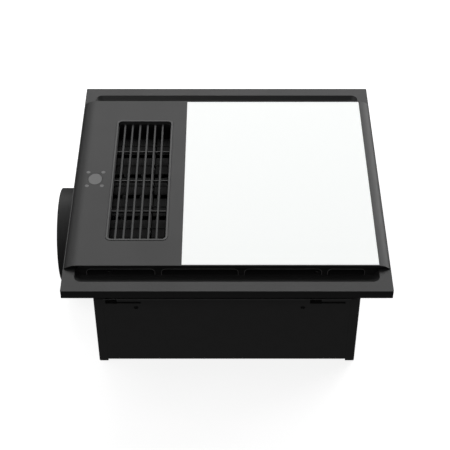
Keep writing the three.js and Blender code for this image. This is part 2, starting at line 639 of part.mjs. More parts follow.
// Local frame: origin on the duct axis where the collar meets the casing, and the duct runs to -X.
function ductCollar() {
  const group = groupAt(-HALF_BODY - GAP, DUCT_AXIS.y, DUCT_AXIS.z);
  const length = DUCT_END - HALF_BODY - GAP;
  const bore = DUCT_RADIUS - 2.7;
  const profile = [
    [bore, 0], [DUCT_RADIUS, 0],
    [DUCT_RADIUS, length - 3], [DUCT_RADIUS - 1, length], [bore, length], [bore, 0],
  ];
  const outline = profile.map(([radius, height]) => new THREE.Vector2(radius, height));
  const spigot = solidOf(new THREE.LatheGeometry(outline, 44).rotateZ(Math.PI / 2));
  const { halfY, halfZ, thick, screwY, screwZ } = COLLAR_PLATE;
  const base = sectionX(roundRect(-halfY, halfY, -halfZ, halfZ, 10), -thick, 0, 4).subtract(
    rod("x", bore + 1, -thick - 1, 1, [0, 0], 44),
  );
  const screwHoles = [-1, 1].flatMap((a) =>
    [-1, 1].map((b) => rod("x", 2.2, -thick - 1, 1, [a * screwY, b * screwZ], 8)),
  );
  const pinHole = rod("z", 1.8, -DUCT_RADIUS - 3, DUCT_RADIUS + 3, [SHUTTER.x, 0], 10);
  group.add(named("duct_collar", without(spigot.add(base), [...screwHoles, pinHole]), blackPlastic));

  const pin = rod("z", 1.5, -bore - 1.4, bore + 1.4, [SHUTTER.x, 0], 10);
  group.add(named("shutter_pin", pin, zincSteel));

  // Two half discs fold towards the duct. Their knuckles take turns along the pin.
  const knuckles = { front: [[-54, -33], [12, 31]], rear: [[-31, -12], [33, 54]] };
  for (const [name, side] of [["front", -1], ["rear", 1]]) {
    const disc = rod("x", SHUTTER.radius, -SHUTTER.thick / 2, SHUTTER.thick / 2, [0, 0], 36);
    const [k0, k1] = [side * SHUTTER.edge, side * DUCT_RADIUS].sort((a, b) => a - b);
    const keep = box(-2, 2, k0, k1, -DUCT_RADIUS, DUCT_RADIUS);
    const hinges = knuckles[name].map(([z0, z1]) => {
      const [y0, y1] = [side * 2, side * (SHUTTER.edge + 1)].sort((a, b) => a - b);
      return rod("z", 2.6, z0, z1, [0, 0], 10).add(box(-0.6, 0.6, y0, y1, z0, z1));
    });
    const bore = rod("z", 1.95, -DUCT_RADIUS, DUCT_RADIUS, [0, 0], 10);
    const half = joined([disc.intersect(keep), ...hinges]).subtract(bore);
    const flap = named(`shutter_flap_${name}`, half, blackPlastic);
    flap.position.set(SHUTTER.x, 0, 0);
    group.add(flap);
  }
  return group;
}

// ---- Blower --------------------------------------------------------------------------------------
const IMPELLER = { outer: 72, inner: 59, bottom: 41, top: 96, blades: 24 };

// The scroll's plan: a spiral that widens clockwise from the tongue to the outlet channel.
function scrollPlan(grow) {
  const start = (215 * Math.PI) / 180;
  const sweep = (305 * Math.PI) / 180;
  const turns = 20;
  const points = [];
  for (let i = 0; i <= turns; i += 1) {
    const share = i / turns;
    const angle = start - sweep * share;
    const radius = 80 + 24 * share + grow;
    points.push([radius * Math.cos(angle), radius * Math.sin(angle)]);
  }
  const mouth = AIR_BOX.x1 - BLOWER.x + GAP;
  points.push([mouth - (grow < 0 ? 2 : 0), SCROLL_OUT.y0 - grow]);
  points.push([mouth - (grow < 0 ? 2 : 0), SCROLL_OUT.y1 + grow - 6]);
  return outlineOf(points.reverse());
}

function impeller() {
  const { outer, inner, bottom, top, blades } = IMPELLER;
  const disc = turned([
    [4.4, bottom], [outer, bottom], [outer, bottom + 2], [34, bottom + 2], [14, bottom + 12],
    [9, bottom + 18], [4.4, bottom + 18], [4.4, bottom],
  ], 36);
  const ring = tube("z", outer, outer - 3, top - 3, top, [0, 0], 36);
  const depth = outer - inner;
  const blade = outlineOf([
    [inner, 0], [inner + depth * 0.55, 3.4], [outer - 0.6, 10],
    [outer - 1.6, 10.6], [inner + depth * 0.5, 4.6], [inner - 0.2, 1.2],
  ]);
  const fins = Array.from({ length: blades }, (_, i) => {
    const geometry = extruded(blade, top - bottom - 2, 2).translate(0, 0, bottom + 1);
    return solidOf(geometry.rotateZ((i * 2 * Math.PI) / blades));
  });
  return named("impeller", joined([disc, ring, ...fins]), blackPlastic);
}

function blower() {
  const group = groupAt(BLOWER.x, BLOWER.y, 0);
  const { z0, z1 } = SCROLL_OUT;
  const casing = plate(scrollPlan(0), z0, z1).subtract(plate(scrollPlan(-WALL), z0 + WALL, z1 + 1));
  const floorHole = rod("z", 12, z0 - 1, z0 + 4, [0, 0], 20);
  group.add(named("blower_scroll", casing.subtract(floorHole), blackPlastic));

  const lid = plate(scrollPlan(0), z1 + GAP, z1 + GAP + WALL).subtract(
    rod("z", 58, z1 - 1, z1 + 4, [0, 0], 28),
  );
  const bellmouth = turned([
    [58, z1 - 5], [60, z1 - 5], [60.6, z1], [64, z1 + 1], [64, z1 + 5], [60, z1 + 4.4], [58, z1], [58, z1 - 5],
  ], 28);
  group.add(named("blower_lid", lid.add(bellmouth), blackPlastic));
  group.add(impeller());

  const shaft = rod("z", 4, 30.5, IMPELLER.bottom + 22, [0, 0], 12);
  group.add(named("motor_shaft", shaft, zincSteel));
  const can = turned([
    [0, 6], [36, 6], [40, 9], [40, 27], [36, 30.2], [0, 30.2],
  ], 36);
  const ears = [0, 1, 2].map((i) => {
    const angle = (i * 2 * Math.PI) / 3 + 0.4;
    const ear = new THREE.BoxGeometry(18, 12, 2).translate(44, 0, 31).rotateZ(angle);
    const arm = new THREE.BoxGeometry(6, 12, 8).translate(38, 0, 28).rotateZ(angle);
    return solidOf(ear).add(solidOf(arm));
  });
  group.add(named("fan_motor", joined([can, ...ears]).subtract(rod("z", 4.5, 29, 34, [0, 0], 12)), zincSteel));
  return group;
}

// ---- Electrical parts ---------------------------------------------------------------------------
function electrics() {
  const group = new THREE.Group();
  const floor = BASE_TOP + GAP;
  const controlBox = without(box(-45, 75, -157, -112, floor, 44), [
    box(-43, 73, -155, -114, floor + WALL, 50),
    box(10, 24, -113, -108, 30, 50),
  ]);
  group.add(named("control_box", controlBox, whitePlastic));
  const lid = box(-46, 76, -158, -111, 44.3, 46.3);
  group.add(named("control_box_lid", lid, whitePlastic));
  const board = joined([
    box(-40, 70, -152, -117, 12, 13.6),
    box(-34, -14, -148, -130, 13, 30),
    box(-8, 8, -146, -132, 13, 27),
    box(14, 30, -146, -132, 13, 27),
    rod("z", 6, 13, 32, [42, -140], 16),
    box(54, 66, -150, -120, 13, 22),
  ]);
  group.add(named("circuit_board", board, boardGreen));
  const driver = joined([
    box(-42, 58, 110, 150, floor, 32),
    box(-48, 64, 124, 136, floor, floor + 2),
  ]);
  group.add(named("light_driver", driver, whitePlastic));
  const pockets = [0, 1, 2, 3].map((i) => box(88 + i * 11.5, 96 + i * 11.5, 128, 142, 18, 30));
  const block = without(box(85, 134, 124, 146, floor, 25), pockets);
  group.add(named("terminal_block", block, whitePlastic));
  return group;
}

// ---- Clamps --------------------------------------------------------------------------------------
// Local frame: origin on the screw's axis, the arm parks along +X and the casing's wall is at -Y.
function clampUnit(number, { x, side }) {
  const group = groupAt(x, side * CLAMP_Y, 0);
  group.rotation.z = side > 0 ? Math.PI : 0;
  const screw = joined([
    rod("z", 2, 95, 157, [0, 0], 8),
    rod("z", 4.2, DECK_TOP + GAP, DECK_TOP + 3, [0, 0], 12),
  ]);
  group.add(named(`clamp_screw_${number}`, screw, zincSteel));
  const nut = without(
    joined([
      rod("z", 4.8, 101.2, ARM.under - GAP, [0, 0], 6),
      rod("z", 3.4, ARM.under - 1, ARM.under + ARM.thick + 0.8, [0, 0], 12),
    ]),
    [rod("z", 2.4, 100, 115, [0, 0], 8)],
  );
  group.add(named(`clamp_nut_${number}`, nut, zincSteel));
  const top = ARM.under + ARM.thick;
  const blade = roundRect(-ARM.halfWidth, ARM.reach, -ARM.halfWidth, ARM.halfWidth, 3);
  const arm = plate(blade, ARM.under, top, 2).subtract(rod("z", 3.8, 100, 115, [0, 0], 12));
  group.add(named(`clamp_arm_${number}`, arm, zincSteel));
  return group;
}

// ---- Assembly ------------------------------------------------------------------------------------
const unit = new THREE.Group();
unit.add(casing(), ceilingFrame(), foamGasket(), facePanel());
unit.add(outletDuct(), ...VANE_ROWS.map(vane), vaneLink());
unit.add(stepper("louvre_motor", LOUVRE_MOTOR.x0, VANE_MIDDLE, LOUVRE_MOTOR.z));
unit.add(heater(), airBox(), changeoverFlap(), changeoverMotor(), ductCollar(), blower(), electrics());
unit.add(...CLAMPS.map((clamp, i) => clampUnit(i + 1, clamp)));

export default unit;
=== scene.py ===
"""Looks for a ceiling heater, extractor fan and light unit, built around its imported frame.

Geometry is written in millimetres and turned into metres where a mesh is made.
"""
import json
import math

import bmesh
import bpy
from mathutils import Matrix, Vector


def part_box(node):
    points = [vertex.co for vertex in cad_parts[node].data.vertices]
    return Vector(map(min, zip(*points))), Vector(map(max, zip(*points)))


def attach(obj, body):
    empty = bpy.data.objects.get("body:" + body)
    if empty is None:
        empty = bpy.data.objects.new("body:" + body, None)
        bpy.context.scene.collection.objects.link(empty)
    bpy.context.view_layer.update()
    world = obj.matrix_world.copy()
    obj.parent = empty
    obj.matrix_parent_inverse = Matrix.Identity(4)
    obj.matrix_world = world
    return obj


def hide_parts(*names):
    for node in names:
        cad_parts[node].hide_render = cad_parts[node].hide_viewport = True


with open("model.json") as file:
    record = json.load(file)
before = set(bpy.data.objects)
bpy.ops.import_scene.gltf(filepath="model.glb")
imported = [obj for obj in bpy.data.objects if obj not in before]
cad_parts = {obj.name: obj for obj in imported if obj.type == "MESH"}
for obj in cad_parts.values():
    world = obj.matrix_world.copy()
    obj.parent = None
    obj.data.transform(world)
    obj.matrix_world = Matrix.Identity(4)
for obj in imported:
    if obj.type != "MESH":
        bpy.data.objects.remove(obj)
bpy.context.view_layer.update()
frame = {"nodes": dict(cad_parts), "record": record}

MM = 0.001
FULL_TURN = 2 * math.pi
QUARTER_TURN = math.pi / 2


def box_mm(node):
    """A CAD node's lowest and highest corners in millimetres."""
    low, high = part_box(node)
    return low / MM, high / MM


def middle_mm(node):
    """The middle of a CAD node's box in millimetres."""
    low, high = box_mm(node)
    return (low + high) / 2


# ---- Outlines: lists of (u, v) points, anticlockwise -------------------------------------------
def arc(centre, radius, start, end, steps):
    """Points on a circle from one angle to another, ends included."""
    turn = (end - start) / steps
    angles = [start + turn * i for i in range(steps + 1)]
    return [(centre[0] + radius * math.cos(a), centre[1] + radius * math.sin(a)) for a in angles]


def rounded_rect(u0, u1, v0, v1, radius, steps=10):
    centres = [
        (u1 - radius, v0 + radius), (u1 - radius, v1 - radius),
        (u0 + radius, v1 - radius), (u0 + radius, v0 + radius),
    ]
    points = []
    for quarter, centre in enumerate(centres, -1):
        points += arc(centre, radius, quarter * QUARTER_TURN, (quarter + 1) * QUARTER_TURN, steps)
    return points


def inset_rect(low, high, inset, radius, steps):
    """A rounded (x, y) rectangle that lies inside a box's outline; a negative inset goes outside it."""
    return rounded_rect(low.x + inset, high.x - inset, low.y + inset, high.y - inset, radius, steps)


def ellipse(centre, half_u, half_v, steps=72):
    angles = [FULL_TURN * i / steps for i in range(steps)]
    return [(centre[0] + half_u * math.cos(a), centre[1] + half_v * math.sin(a)) for a in angles]


def arched(u0, u1, v0, v1, radius, steps=8):
    """A rectangle with its two upper corners rounded."""
    right = arc((u1 - radius, v1 - radius), radius, 0, QUARTER_TURN, steps)
    left = arc((u0 + radius, v1 - radius), radius, QUARTER_TURN, 2 * QUARTER_TURN, steps)
    return [(u0, v0), (u1, v0), *right, *left]


# ---- Solids ------------------------------------------------------------------------------------
def place(axis, u, v, w):
    """A point from its two outline coordinates and its distance along an axis."""
    return {"x": (w, u, v), "y": (u, w, v), "z": (u, v, w)}[axis]


def solid_from(vertices, faces):
    mesh = bpy.data.meshes.new("solid")
    mesh.from_pydata([Vector(v) * MM for v in vertices], [], faces)
    work = bmesh.new()
    work.from_mesh(mesh)
    bmesh.ops.recalc_face_normals(work, faces=work.faces)
    work.to_mesh(mesh)
    work.free()
    obj = bpy.data.objects.new("solid", mesh)
    bpy.context.scene.collection.objects.link(obj)
    return obj


def prism(outline, axis, start, end):
    """An outline pushed along an axis: (y, z) along x, (x, z) along y, (x, y) along z."""
    count = len(outline)
    vertices = [place(axis, u, v, w) for w in (start, end) for u, v in outline]
    sides = [(i, (i + 1) % count, count + (i + 1) % count, count + i) for i in range(count)]
    caps = [tuple(range(count)), tuple(range(2 * count - 1, count - 1, -1))]
    return solid_from(vertices, sides + caps)


def block(x0, x1, y0, y1, z0, z1):
    return prism([(x0, y0), (x1, y0), (x1, y1), (x0, y1)], "z", z0, z1)


def rod(axis, radius, start, end, centre, steps=64):
    return prism(ellipse(centre, radius, radius, steps), axis, start, end)


def turned(profile, axis, centre, steps=128):
    """A closed profile of (radius, height) points turned about an axis through a centre."""
    rings = [
        [place(axis, centre[0] + r * math.cos(a), centre[1] + r * math.sin(a), h) for r, h in profile]
        for a in (FULL_TURN * i / steps for i in range(steps))
    ]
    count = len(profile)
    vertices = [point for ring in rings for point in ring]
    faces = []
    for i in range(steps):
        j = (i + 1) % steps
        for k in range(count):
            m = (k + 1) % count
            faces.append((i * count + k, i * count + m, j * count + m, j * count + k))
    obj = solid_from(vertices, faces)
    merge(obj)
    return obj


def merge(obj):
    """Joins vertices that share a place, so points on the axis close up."""
    work = bmesh.new()
    work.from_mesh(obj.data)
    bmesh.ops.remove_doubles(work, verts=work.verts, dist=1e-7)
    bmesh.ops.recalc_face_normals(work, faces=work.faces)
    work.to_mesh(obj.data)
    work.free()


def combined(first, others, operation):
    for other in others:
        step = first.modifiers.new("combine", "BOOLEAN")
        step.solver = "MANIFOLD"
        step.operation = operation
        step.object = other
        view = bpy.context.evaluated_depsgraph_get()
        result = bpy.data.meshes.new_from_object(first.evaluated_get(view))
        first.modifiers.clear()
        first.data = result
        bpy.data.objects.remove(other)
    return first


def joined(first, *others):
    return combined(first, others, "UNION")


def cut(first, *others):
    return combined(first, others, "DIFFERENCE")


def turned_about(obj, axis, angle, centre):
    """Turns a solid about an axis through a point in millimetres."""
    there = Matrix.Translation(Vector(centre) * MM)
    obj.data.transform(there @ Matrix.Rotation(angle, 4, axis.upper()) @ there.inverted())
    return obj


# ---- Materials ---------------------------------------------------------------------------------
def new_material(name, colour, roughness, metallic=0.0, specular=0.5):
    material = bpy.data.materials.new(name)
    material.use_nodes = True
    shader = material.node_tree.nodes["Principled BSDF"]
    shader.inputs["Base Color"].default_value = (*colour, 1)
    shader.inputs["Roughness"].default_value = roughness
    shader.inputs["Metallic"].default_value = metallic
    shader.inputs["Specular IOR Level"].default_value = specular
    return material


def noise(material, scale, detail=3.0, stretch=(1, 1, 1)):
    """A noise texture in the part's own metres, so that it stays put on a moving piece."""
    nodes, links = material.node_tree.nodes, material.node_tree.links
    where = nodes.new("ShaderNodeTexCoord")
    mapping = nodes.new("ShaderNodeMapping")
    mapping.inputs["Scale"].default_value = stretch
    texture = nodes.new("ShaderNodeTexNoise")
    texture.inputs["Scale"].default_value = scale
    texture.inputs["Detail"].default_value = detail
    links.new(where.outputs["Object"], mapping.inputs["Vector"])
    links.new(mapping.outputs["Vector"], texture.inputs["Vector"])
    return texture.outputs["Fac"]


def add_grain(material, scale, height, strength=1.0, stretch=(1, 1, 1)):
    """Fine relief: height in metres."""
    nodes, links = material.node_tree.nodes, material.node_tree.links
    bump = nodes.new("ShaderNodeBump")
    bump.inputs["Strength"].default_value = strength
    bump.inputs["Distance"].default_value = height
    links.new(noise(material, scale, 2.0, stretch), bump.inputs["Height"])
    links.new(bump.outputs["Normal"], nodes["Principled BSDF"].inputs["Normal"])


def vary(material, socket, source, low, high):
    """Drives a socket between two values by a 0 to 1 source."""
    nodes, links = material.node_tree.nodes, material.node_tree.links
    spread = nodes.new("ShaderNodeMapRange")
    spread.inputs["From Min"].default_value = 0.35
    spread.inputs["From Max"].default_value = 0.65
    spread.inputs["To Min"].default_value = low
    spread.inputs["To Max"].default_value = high
    links.new(source, spread.inputs["Value"])
    links.new(spread.outputs["Result"], nodes["Principled BSDF"].inputs[socket])


def vary_colour(material, source, dark, light):
    nodes, links = material.node_tree.nodes, material.node_tree.links
    blend = nodes.new("ShaderNodeMix")
    blend.data_type = "RGBA"
    blend.inputs["A"].default_value = (*dark, 1)
    blend.inputs["B"].default_value = (*light, 1)
    links.new(source, blend.inputs["Factor"])
    links.new(blend.outputs["Result"], nodes["Principled BSDF"].inputs["Base Color"])


def moulded(name, grey, roughness, grain=0.00002, scale=2600, specular=0.4, tint=(1, 1, 1)):
    """Moulded plastic with a fine spark-eroded texture and faint handling marks."""
    colour = [grey * share for share in tint]
    material = new_material(name, colour, roughness, specular=specular)
    darker, lighter = [c * 0.985 for c in colour], [c * 1.015 for c in colour]
    vary_colour(material, noise(material, 45, 6.0), darker, lighter)
    vary(material, "Roughness", noise(material, 14, 5.0), roughness - 0.015, roughness + 0.015)
    add_grain(material, scale, grain, 0.35)
    return material


def coated_steel(name, grey, roughness):
    """Powder coat: a low orange-peel relief with a finer grain in its roughness."""
    material = new_material(name, (grey, grey, grey), roughness, specular=0.45)
    vary_colour(material, noise(material, 900, 2.0), [grey * 0.96] * 3, [grey * 1.05] * 3)
    vary(material, "Roughness", noise(material, 60, 4.0), roughness - 0.06, roughness + 0.08)
    add_grain(material, 1400, 0.00003, 0.3)
    return material


def metal(name, colour, roughness, stretch=(1, 1, 1)):
    material = new_material(name, colour, roughness, metallic=1.0)
    vary(material, "Roughness", noise(material, 400, 3.0, stretch), roughness - 0.07, roughness + 0.1)
    vary_colour(material, noise(material, 60, 4.0), [c * 0.88 for c in colour], colour)
    add_grain(material, 1800, 0.00001, 0.3, stretch)
    return material


def lit_opal():
    """The opal cover of the light, lit from behind."""
    material = new_material("opal_acrylic", (0.6, 0.615, 0.608), 0.28)
    shader = material.node_tree.nodes["Principled BSDF"]
    shader.inputs["Emission Color"].default_value = (0.985, 1.0, 0.99, 1)
    shader.inputs["Emission Strength"].default_value = 0.475
    vary(material, "Roughness", noise(material, 30, 3.0), 0.275, 0.29)
    add_grain(material, 3000, 0.00001, 0.15)
    return material


def clear_plastic():
    material = new_material("clear_acrylic", (0.9, 0.94, 0.93), 0.08)
    material.node_tree.nodes["Principled BSDF"].inputs["Transmission Weight"].default_value = 0.85
    vary(material, "Roughness", noise(material, 40, 3.0), 0.06, 0.12)
    return material


MATERIALS = {
    "graphite_plastic": moulded("graphite_plastic", 0.024, 0.45),
    # A light grey that paints the highlight where light catches an edge: round the intake windows and along
    # the casing's hems.
    "painted_edge_highlight": moulded("painted_edge_highlight", 0.17, 0.4),
    # The grille rim's plastic is lighter grey than the panel's: a painted highlight on the rim's rounded
    # top.
    "rim_highlight_plastic": moulded("rim_highlight_plastic", 0.055, 0.38),
    "vane_plastic": moulded("vane_plastic", 0.008, 0.6, specular=0.14),
    # Heating fins and spines in a dark metal far below bare aluminium: painted shade for the dark inside of
    # the outlet.
    "shade_dark_fins": metal("shade_dark_fins", (0.05, 0.05, 0.05), 0.5, (1, 12, 1)),
    "black_steel": coated_steel("black_steel", 0.057, 0.5),
    "black_plastic": moulded("black_plastic", 0.012, 0.5),
    "collar_plastic": moulded("collar_plastic", 0.06, 0.5, 0.00005, 900, specular=0.16),
    "opal_acrylic": lit_opal(),
    "clear_acrylic": clear_plastic(),
    "sensor_plastic": moulded("sensor_plastic", 0.155, 0.4, 0.00001),
    "indicator": moulded("indicator", 0.15, 0.35, 0.00001),
    "aluminium": metal("aluminium", (0.62, 0.63, 0.64), 0.35, (1, 12, 1)),
    "spring_steel": metal("spring_steel", (0.09, 0.09, 0.092), 0.4),
    "zinc_steel": metal("zinc_steel", (0.16, 0.16, 0.165), 0.42),
    "white_plastic": moulded("white_plastic", 0.66, 0.45),
    "board": moulded("board", 0.1, 0.45, tint=(0.2, 1.2, 0.5)),
    "foam": moulded("foam", 0.025, 0.9, 0.0004, 900),
    "rubber": moulded("rubber", 0.015, 0.7, 0.00005, 1200),
}
SLOT_OF_NODE = {row["node"]: row["material_slot"] for row in frame["record"]["subparts"]}
BODY_OF_NODE = {
    node: body for body, nodes in frame["record"]["behaviour"]["bodies"].items() for node in nodes
}


# ---- Finishing a piece -------------------------------------------------------------------------
CARRIED_BEVEL = 0.25


def soften(obj, width, segments=2):
    """Rounds an object's sharp edges and evens out its shading."""
    if width:
        bevel = obj.modifiers.new("edges", "BEVEL")
        bevel.width = width * MM
        bevel.segments = segments
        bevel.limit_method = "ANGLE"
        bevel.angle_limit = math.radians(32)
        bevel.use_clamp_overlap = True
        bevel.harden_normals = False
    even = obj.modifiers.new("normals", "WEIGHTED_NORMAL")
    even.keep_sharp = True
    even.weight = 90
    obj.data.shade_smooth()


def flatten(obj):
    """Dissolves edges between faces that lie in one plane, so that rounding sees only real edges."""
    work = bmesh.new()
    work.from_mesh(obj.data)
    bmesh.ops.remove_doubles(work, verts=work.verts, dist=2e-6)
    bmesh.ops.dissolve_degenerate(work, edges=work.edges, dist=1e-6)
    bmesh.ops.dissolve_limit(
        work, angle_limit=math.radians(0.2), verts=work.verts, edges=work.edges,
        use_dissolve_boundaries=False,
    )
    work.to_mesh(obj.data)
    work.free()


def finish_piece(obj, name, node, material=None, bevel=0.3, segments=2, stands_for=None):
    """Names a solid, rounds it, gives it its finish and lets it ride where its CAD node rides."""
    obj.name = name
    obj.data.name = name
    flatten(obj)
    soften(obj, bevel, segments)
    slot = SLOT_OF_NODE[node]
    obj.data.materials.clear()
    obj.data.materials.append(MATERIALS[material or slot])
    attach(obj, BODY_OF_NODE[node])
    for replaced in stands_for if stands_for is not None else [node]:
        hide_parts(replaced)


def carry(node):
    """Keeps a CAD node and gives it its finish, with rounded edges from modifiers alone."""
    obj = frame["nodes"][node]
    if "custom_normal" in obj.data.attributes:
        obj.data.attributes.remove(obj.data.attributes["custom_normal"])
    weld = obj.modifiers.new("weld", "WELD")
    weld.merge_threshold = 1e-6
    plane = obj.modifiers.new("planes", "DECIMATE")
    plane.decimate_type = "DISSOLVE"
    plane.angle_limit = math.radians(0.3)
    soften(obj, CARRIED_BEVEL)
    slot = SLOT_OF_NODE[node]
    obj.data.materials.clear()
    obj.data.materials.append(MATERIALS[slot])


# ---- Camera, light and floor -------------------------------------------------------------------
CAMERA_PLACE = (-0.0023, -1.2167, 1.2342)
CAMERA_PITCH = math.radians(43.33)
CAMERA_LENS = 98.45
WORLD_FILL = 0.068
FLOOR_GLOW = 0.84
UNIT_MIDDLE = (0, 0, 0.15)
SOFTBOXES = (  # name, place and target in metres, width, height, watts
    ("rear_softbox", (0.4, 3.3, 3.2), UNIT_MIDDLE, 4.6, 2.9, 108),
    ("overhead_softbox", (-0.9, 0.0, 1.6), (-0.2, 0, 0.1), 0.9, 0.8, 4),
    ("front_softbox", (0, -2.4, 2.6), UNIT_MIDDLE, 2.2, 1.4, 9),
    ("left_softbox", (-1.9, 2.1, 1.4), UNIT_MIDDLE, 1.6, 1.0, 5.5),
    ("right_softbox", (2.1, 1.9, 0.95), UNIT_MIDDLE, 1.8, 1.4, 30),
)


def make_camera():
    data = bpy.data.cameras.new("camera")
    data.lens = CAMERA_LENS
    data.sensor_width = 36
    camera = bpy.data.objects.new("camera", data)
    camera.location = CAMERA_PLACE
    camera.rotation_euler = (QUARTER_TURN - CAMERA_PITCH, 0, 0)
    bpy.context.scene.collection.objects.link(camera)
    bpy.context.scene.camera = camera


def area_light(name, place_m, target_m, width, height, watts):
    data = bpy.data.lights.new(name, "AREA")
    data.shape = "RECTANGLE"
    data.size = width
    data.size_y = height
    data.energy = watts
    light = bpy.data.objects.new(name, data)
    light.location = place_m
    aim = Vector(target_m) - Vector(place_m)
    light.rotation_euler = aim.to_track_quat("-Z", "Y").to_euler()
    bpy.context.scene.collection.objects.link(light)


def make_world():
    """White to the camera, a faint fill to everything else."""
    world = bpy.data.worlds.new("studio")
    world.use_nodes = True
    nodes, links = world.node_tree.nodes, world.node_tree.links
    seen = nodes["Background"]
    seen.inputs["Color"].default_value = (1, 1, 1, 1)
    seen.inputs["Strength"].default_value = 1.0
    fill = nodes.new("ShaderNodeBackground")
    fill.inputs["Color"].default_value = (1, 1, 1, 1)
    fill.inputs["Strength"].default_value = WORLD_FILL
    ray = nodes.new("ShaderNodeLightPath")
    choose = nodes.new("ShaderNodeMixShader")
    links.new(ray.outputs["Is Camera Ray"], choose.inputs[0])
    links.new(fill.outputs[0], choose.inputs[1])
    links.new(seen.outputs[0], choose.inputs[2])
    links.new(choose.outputs[0], nodes["World Output"].inputs["Surface"])
    bpy.context.scene.world = world


def make_floor():
    """A white floor that takes shadows and lights nothing."""
    mesh = bpy.data.meshes.new("floor")
    mesh.from_pydata([(-9, -9, 0), (9, -9, 0), (9, 9, 0), (-9, 9, 0)], [], [(0, 1, 2, 3)])
    floor = bpy.data.objects.new("floor", mesh)
    floor.location.z = -0.0005
    bpy.context.scene.collection.objects.link(floor)
    pale = new_material("floor", (0.6, 0.6, 0.6), 0.9, specular=0.0)
    shader = pale.node_tree.nodes["Principled BSDF"]
    shader.inputs["Emission Color"].default_value = (1, 1, 1, 1)
    shader.inputs["Emission Strength"].default_value = FLOOR_GLOW
    mesh.materials.append(pale)
    floor.visible_diffuse = False
    floor.visible_glossy = False


def make_stage():
    make_world()
    for softbox in SOFTBOXES:
        area_light(*softbox)
    make_floor()
    bpy.context.scene.view_settings.view_transform = "Standard"


# ---- Face panel --------------------------------------------------------------------------------
PANEL_SKIN = 2.2
ROLL_WIDTH = 17  # how wide each rolled side edge is
ROLL_SWEEP = math.radians(62)
ROLL_TAPER = 1.3  # how much sooner the roll's inside ends, for each millimetre of depth
LIP_DROP = 4.9  # how far the front and rear lips hang below the panel's top
LIP_THICK = 2
LIGHT_REACH = (0.9, 0.3)  # how far the cover runs out towards the front and the rear lip
LEDGE_THICK = 2.1  # under the light's cover
LIGHT_GAP = 0.3
LIGHT_WINDOW = (6.5, 6.6, 156)  # its left and right borders and its half depth
OUTLET_GAP = 0.4
OUTLET_RADIUS = 6.5
PANEL_DEPTH = 9  # every opening in the panel is cut from this far below its top
SENSOR_HALF = (9.4, 11.4)
INDICATOR_REACH = (9.8, 13.4)  # from the sensor's centre to each indicator
INDICATOR_RADIUS = 2.7


def panel_section(low, high):
    """The panel's (x, z) section, with both sides rolled down."""
    steps = 28
    outer_z, flat_x = high.z - low.z, high.x - ROLL_WIDTH

    def roll(depth):
        """One roll's outside, or its inside at a depth below it."""
        width, least = ROLL_WIDTH - depth * ROLL_TAPER, math.cos(ROLL_SWEEP)
        return [
            (
                flat_x + width * math.sin(a) / math.sin(ROLL_SWEEP),
                low.z + (outer_z - depth) * (math.cos(a) - least) / (1 - least),
            )
            for a in (ROLL_SWEEP * i / steps for i in range(steps + 1))
        ]

    right = [*roll(0), *reversed(roll(PANEL_SKIN))]
    left = [(-x, z) for x, z in reversed(right)]
    return right + left


def indicator_spots():
    """The (x, y) places of the four indicators round the sensor."""
    middle = middle_mm("sensor_lens")
    reach_x, reach_y = INDICATOR_REACH
    sides = ((-1, -1), (1, -1), (1, 1), (-1, 1))
    return [(middle.x + side_x * reach_x, middle.y + side_y * reach_y) for side_x, side_y in sides]


def make_face_panel():
    low, high = box_mm("face_panel")
    light_low, light_high = box_mm("light_diffuser")
    top, flat_x = high.z, high.x - ROLL_WIDTH
    light_x = (light_low.x - LIGHT_GAP, light_high.x + LIGHT_GAP)
    light_y = (light_low.y - LIGHT_REACH[0] - LIGHT_GAP, light_high.y + LIGHT_REACH[1] + LIGHT_GAP)
    ledge_top = light_low.z - 0.2
    ledge_y = (low.y + 0.01, high.y - 0.01)
    ledge = block(light_x[0] - 4, flat_x + 8, *ledge_y, ledge_top - LEDGE_THICK, ledge_top + 0.2)
    lips = [
        block(-flat_x, flat_x, y0, y1, top - LIP_DROP, ledge_top + 0.2)
        for y0, y1 in ((low.y, low.y + LIP_THICK), (high.y - LIP_THICK, high.y))
    ]
    middle = middle_mm("sensor_lens")
    openings = [
        inset_rect(*grille_box(), -OUTLET_GAP, OUTLET_RADIUS, 14),
        ellipse((middle.x, middle.y), SENSOR_HALF[0] + 0.4, SENSOR_HALF[1] + 0.4),
        *[ellipse(spot, INDICATOR_RADIUS + 0.05, INDICATOR_RADIUS + 0.05, 32) for spot in indicator_spots()],
    ]
    border_left, border_right, window_y = LIGHT_WINDOW
    window_x = (light_x[0] + border_left, light_x[1] - border_right)
    panel = cut(
        joined(prism(panel_section(low, high), "y", low.y, high.y), ledge, *lips),
        block(*light_x, *light_y, ledge_top, top + 1),
        block(*window_x, -window_y, window_y, ledge_top - 10, top),
        *[prism(opening, "z", top - PANEL_DEPTH, top + 1) for opening in openings],
    )
    finish_piece(panel, "face_panel_shell", "face_panel", bevel=0.35, segments=3)


def make_diffuser():
    low, high = box_mm("light_diffuser")
    sheet = block(low.x, high.x, low.y - LIGHT_REACH[0], high.y + LIGHT_REACH[1], low.z, high.z)
    finish_piece(sheet, "light_diffuser_sheet", "light_diffuser", bevel=0.35, segments=3)


